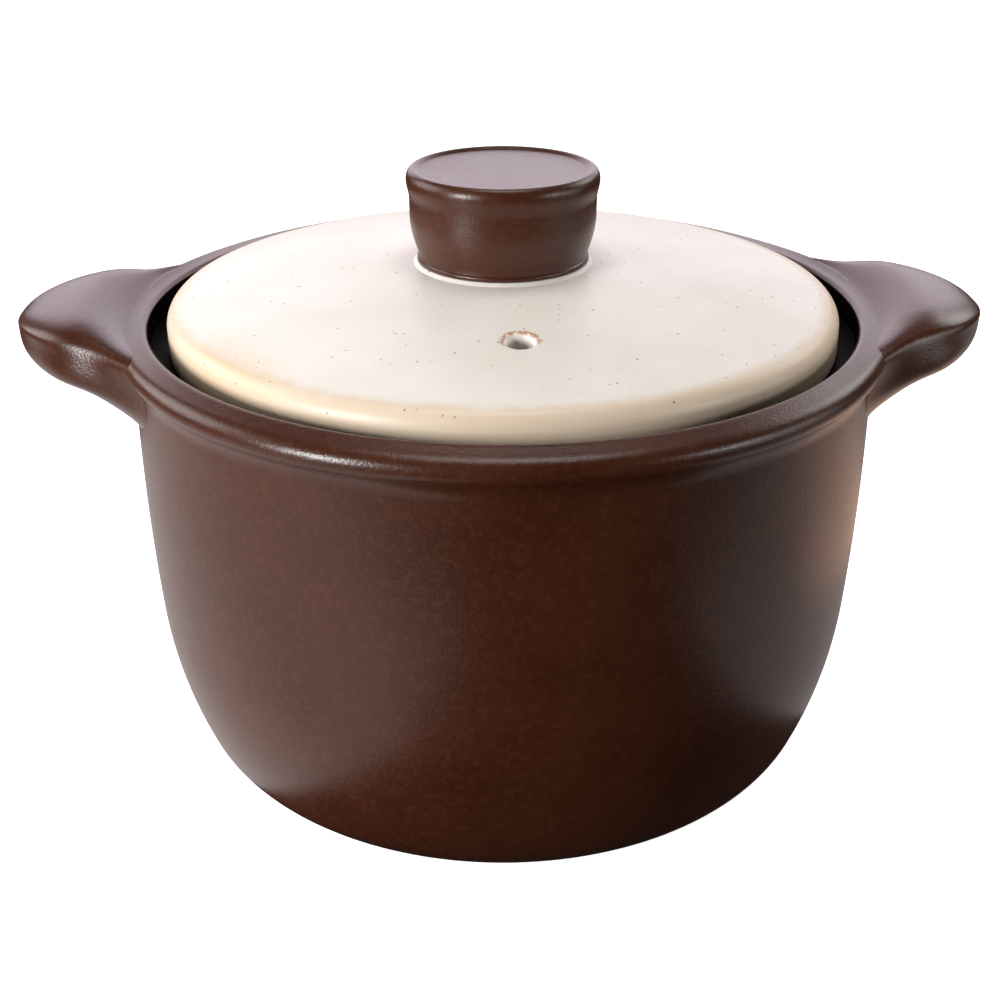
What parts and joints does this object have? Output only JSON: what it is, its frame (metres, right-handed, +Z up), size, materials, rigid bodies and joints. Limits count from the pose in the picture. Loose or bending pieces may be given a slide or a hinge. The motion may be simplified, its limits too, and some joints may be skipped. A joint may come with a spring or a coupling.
{
  "type": "covered ceramic pot",
  "caption": "Round covered ceramic pot with wing lugs at the rim and a loose domed lid that has a flat-topped knob and a steam vent.",
  "frame": {"origin": "centre of the foot, on the table", "axes": "+Z up along the axis of the pot, X through both lugs, the steam vent of the lid towards -Y"},
  "size_m": [0.307, 0.243, 0.1967],
  "materials": {
    "brown_glaze": "satin dark brown glaze",
    "cream_glaze": "matt cream glaze with fine brown specks"
  },
  "bodies": {
    "pot": {"pot_body": "brown_glaze", "left_handle": "brown_glaze", "right_handle": "brown_glaze"},
    "lid_body": {"lid": "cream_glaze", "knob": "brown_glaze"}
  },
  "joints": [
    {"name": "lid_lift", "type": "slide", "parent": "pot", "child": "lid_body", "axis": [0, 0, 1], "range_m": [0, 0.12]}
  ]
}
